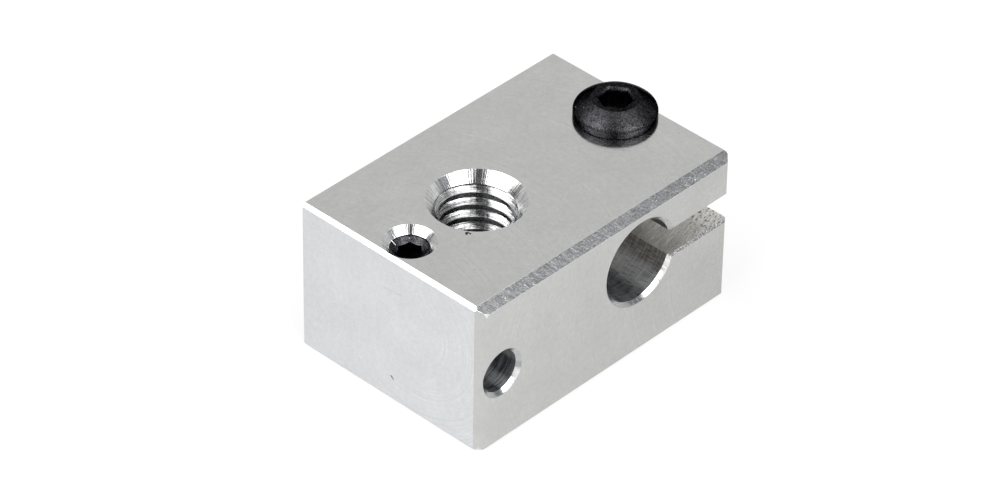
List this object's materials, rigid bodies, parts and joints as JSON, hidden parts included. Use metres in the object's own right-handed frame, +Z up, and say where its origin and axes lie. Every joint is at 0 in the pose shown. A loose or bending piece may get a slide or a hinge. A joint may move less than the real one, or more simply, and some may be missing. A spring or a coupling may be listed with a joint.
{
  "type": "heater block",
  "caption": "Milled aluminium heater block with a threaded through hole, a slit clamp for a cartridge heater and a bore with a grub screw for a cartridge sensor.",
  "frame": {"origin": "middle of the block's bottom face", "axes": "+X from the sensor end to the slit end, +Y from the front face to the back face, +Z up through the face the screws go into"},
  "size_m": [0.024, 0.016, 0.0129],
  "materials": {
    "milled_aluminium": "milled, satin faces and bright cut edges",
    "black_oxide_steel": "black oxide, satin"
  },
  "bodies": {
    "root": {"heater_block": "milled_aluminium", "clamp_screw": "black_oxide_steel", "grub_screw": "black_oxide_steel"}
  },
  "joints": []
}
